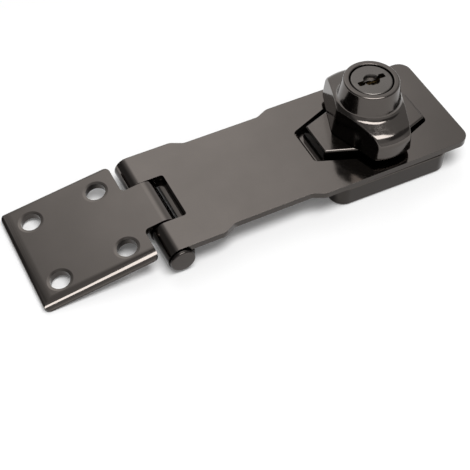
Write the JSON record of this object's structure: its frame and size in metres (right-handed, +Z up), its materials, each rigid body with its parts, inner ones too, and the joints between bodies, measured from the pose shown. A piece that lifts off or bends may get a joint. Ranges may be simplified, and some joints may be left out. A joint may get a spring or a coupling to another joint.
{
  "type": "keyed hasp lock",
  "caption": "Black nickel hasp lock with a hinged plate, a cast base and a winged turn knob that holds a keyed wafer cylinder.",
  "frame": {"origin": "in the middle of the lock's length and width, on the plane that the base stands on; the axis of the knob is 37.5 mm along +X from it", "axes": "+X along the hasp from its hinge to its free end, +Y across the hasp, +Z up out of the base, parallel to the axis of the knob"},
  "size_m": [0.1212, 0.0366, 0.0252],
  "materials": {
    "black_nickel": "polished black nickel plating on zinc and steel",
    "satin_nickel": "satin dark nickel on the lock plug",
    "spring_steel": "bright spring and pressed steel",
    "wafer_brass": "pressed brass"
  },
  "bodies": {
    "root": {"base": "black_nickel", "hasp_plate": "black_nickel", "hinge_pin": "black_nickel", "wave_washer": "spring_steel"},
    "leaf": {"hinge_leaf": "black_nickel"},
    "knob": {"knob": "black_nickel", "spindle_cap": "spring_steel", "retaining_ring": "spring_steel"},
    "plug": {"lock_plug": "satin_nickel", "plug_clip": "spring_steel", "wafer_spring_1": "spring_steel", "wafer_spring_2": "spring_steel", "wafer_spring_3": "spring_steel", "wafer_spring_4": "spring_steel", "wafer_spring_5": "spring_steel"},
    "bolt": {"locking_bolt": "spring_steel"},
    "wafer_a": {"wafer_1": "wafer_brass"},
    "wafer_b": {"wafer_2": "wafer_brass"},
    "wafer_c": {"wafer_3": "wafer_brass"},
    "wafer_d": {"wafer_4": "wafer_brass"},
    "wafer_e": {"wafer_5": "wafer_brass"}
  },
  "joints": [
    {"name": "leaf_hinge", "type": "hinge", "parent": "root", "child": "leaf", "pos_m": [-0.0249, 0, 0.00392], "axis": [0, 1, 0], "range_deg": [0, 110]},
    {"name": "knob_turn", "type": "hinge", "parent": "root", "child": "knob", "pos_m": [0.0375, 0, 0.012], "axis": [0, 0, 1], "range_deg": [0, 90]},
    {"name": "plug_turn", "type": "hinge", "parent": "knob", "child": "plug", "pos_m": [0.0375, 0, 0.02], "axis": [0, 0, 1], "range_deg": [0, 90]},
    {"name": "bolt_slide", "type": "slide", "parent": "knob", "child": "bolt", "axis": [1, 0, 0], "range_m": [0, 0.00212]},
    {"name": "wafer_1_slide", "type": "slide", "parent": "plug", "child": "wafer_a", "axis": [-1, 0, 0], "range_m": [0, 0.0008]},
    {"name": "wafer_2_slide", "type": "slide", "parent": "plug", "child": "wafer_b", "axis": [-1, 0, 0], "range_m": [0, 0.0008]},
    {"name": "wafer_3_slide", "type": "slide", "parent": "plug", "child": "wafer_c", "axis": [-1, 0, 0], "range_m": [0, 0.0008]},
    {"name": "wafer_4_slide", "type": "slide", "parent": "plug", "child": "wafer_d", "axis": [-1, 0, 0], "range_m": [0, 0.0008]},
    {"name": "wafer_5_slide", "type": "slide", "parent": "plug", "child": "wafer_e", "axis": [-1, 0, 0], "range_m": [0, 0.0008]}
  ],
  "couplings": [
    {"joint": "plug_turn", "follows": "bolt_slide", "rad_per_m": 740.48}
  ]
}
